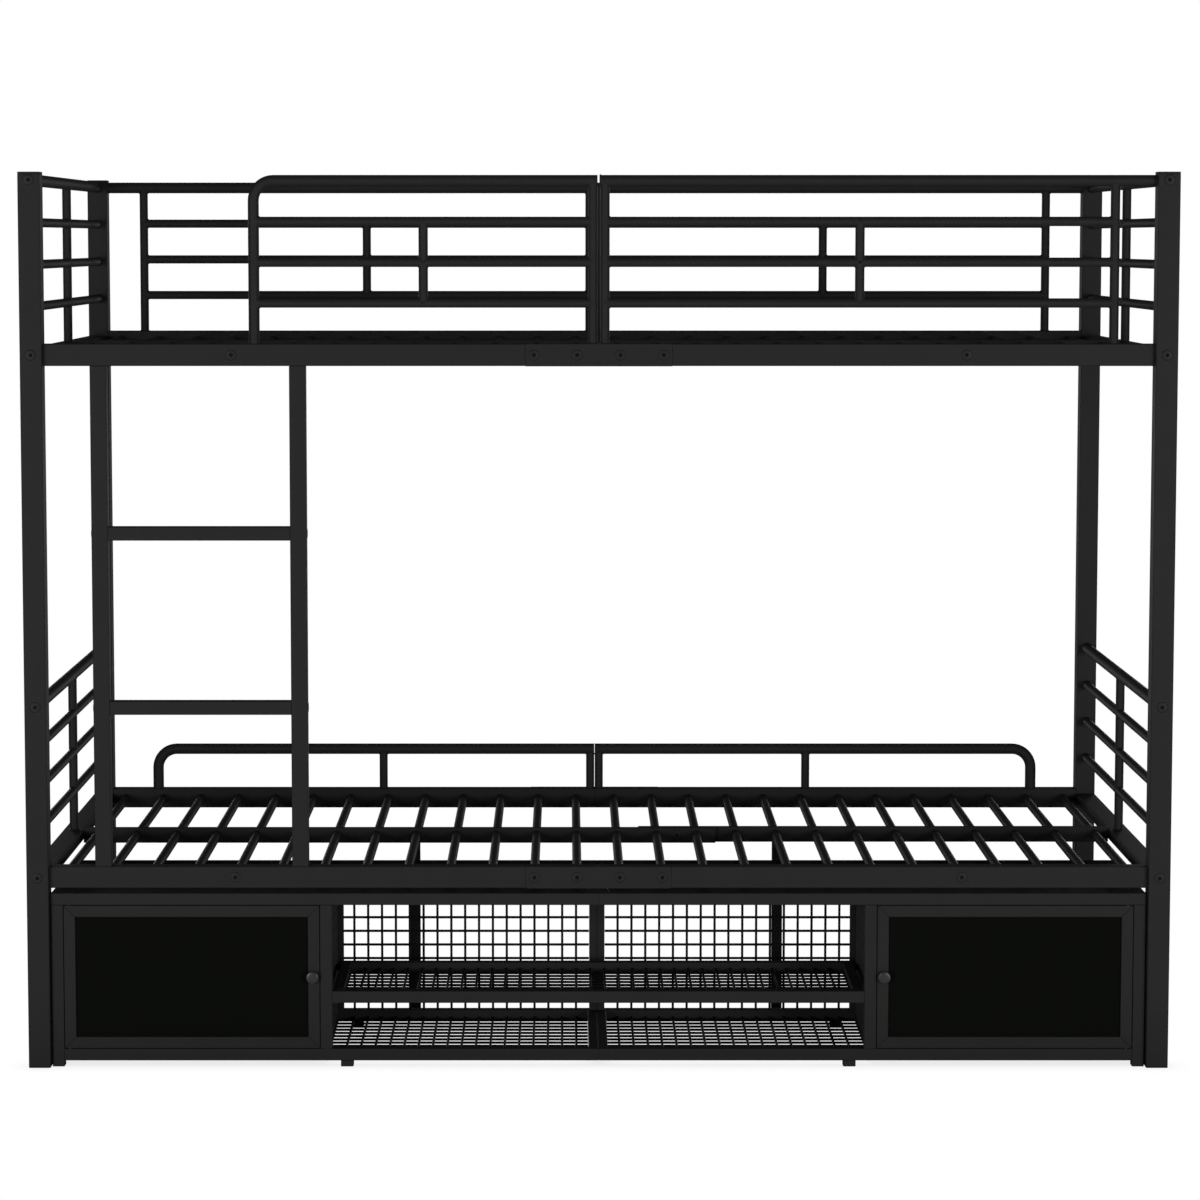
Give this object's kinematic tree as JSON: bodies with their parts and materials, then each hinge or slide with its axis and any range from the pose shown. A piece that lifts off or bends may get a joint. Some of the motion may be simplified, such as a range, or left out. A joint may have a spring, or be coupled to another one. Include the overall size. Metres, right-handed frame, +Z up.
{
  "type": "bunk bed",
  "caption": "Metal bunk bed with slatted decks, guard rails, a fixed ladder and a storage unit with hinged cabinet doors and mesh shelves under the lower bed.",
  "frame": {"origin": "on the floor under the middle of the bed", "axes": "+X along the bed's length to the right, +Y to the back, +Z up; the ladder and the cabinet doors face -Y"},
  "size_m": [2.0874, 0.9904, 1.632],
  "materials": {
    "powder_coat": "black powder coat, fine satin texture",
    "moulded_plastic": "black moulded plastic, matt",
    "wire_mesh": "black powder coat over welded wire",
    "sheet_panel": "black powder-coated sheet steel",
    "bolts": "black-coated low button heads",
    "door_panel": "near-black satin sheet",
    "bright_pin": "plain turned steel pin"
  },
  "bodies": {
    "root": {"back_guard_left": "powder_coat", "back_guard_right": "powder_coat", "cabinet_panels_left": "sheet_panel", "cabinet_panels_right": "sheet_panel", "centre_beam_lower_left": "powder_coat", "centre_beam_lower_right": "powder_coat", "centre_beam_upper_left": "powder_coat", "centre_beam_upper_right": "powder_coat", "end_frame_lower_left": "powder_coat", "end_frame_lower_right": "powder_coat", "end_frame_upper_left": "powder_coat", "end_frame_upper_right": "powder_coat", "front_guard_left": "powder_coat", "front_guard_right": "powder_coat", "hinge_pins_left": "bright_pin", "hinge_pins_right": "bright_pin", "joint_plates_lower": "powder_coat", "joint_plates_upper": "powder_coat", "ladder_bolts": "bolts", "ladder_rail_inner": "powder_coat", "ladder_rail_outer": "powder_coat", "ladder_rungs": "powder_coat", "low_guard_left": "powder_coat", "low_guard_right": "powder_coat", "post_back_left": "powder_coat", "post_back_right": "powder_coat", "post_bolts": "bolts", "post_caps": "moulded_plastic", "post_feet": "moulded_plastic", "post_front_left": "powder_coat", "post_front_right": "powder_coat", "rail_bolts": "bolts", "shelf_frame": "powder_coat", "shelf_mesh": "wire_mesh", "shelf_spacers": "bolts", "side_rail_lower_back_left": "powder_coat", "side_rail_lower_back_right": "powder_coat", "side_rail_lower_front_left": "powder_coat", "side_rail_lower_front_right": "powder_coat", "side_rail_upper_back_left": "powder_coat", "side_rail_upper_back_right": "powder_coat", "side_rail_upper_front_left": "powder_coat", "side_rail_upper_front_right": "powder_coat", "slats_lower_left": "powder_coat", "slats_lower_right": "powder_coat", "slats_upper_left": "powder_coat", "slats_upper_right": "powder_coat", "storage_back_mesh": "wire_mesh", "storage_bolts": "bolts", "storage_floor_mesh": "wire_mesh", "storage_frame_left": "powder_coat", "storage_frame_right": "powder_coat", "storage_top_panels": "sheet_panel", "support_legs": "powder_coat"},
    "door_left": {"door_frame_left": "powder_coat", "door_panel_left": "door_panel", "door_knob_left": "powder_coat"},
    "door_right": {"door_frame_right": "powder_coat", "door_panel_right": "door_panel", "door_knob_right": "powder_coat"}
  },
  "joints": [
    {"name": "door_left_hinge", "type": "hinge", "parent": "root", "child": "door_left", "pos_m": [-0.9685, -0.4765, 0.16625], "axis": [0, 0, -1], "range_deg": [0, 110]},
    {"name": "door_right_hinge", "type": "hinge", "parent": "root", "child": "door_right", "pos_m": [0.9685, -0.4765, 0.16625], "axis": [0, 0, 1], "range_deg": [0, 110]}
  ]
}
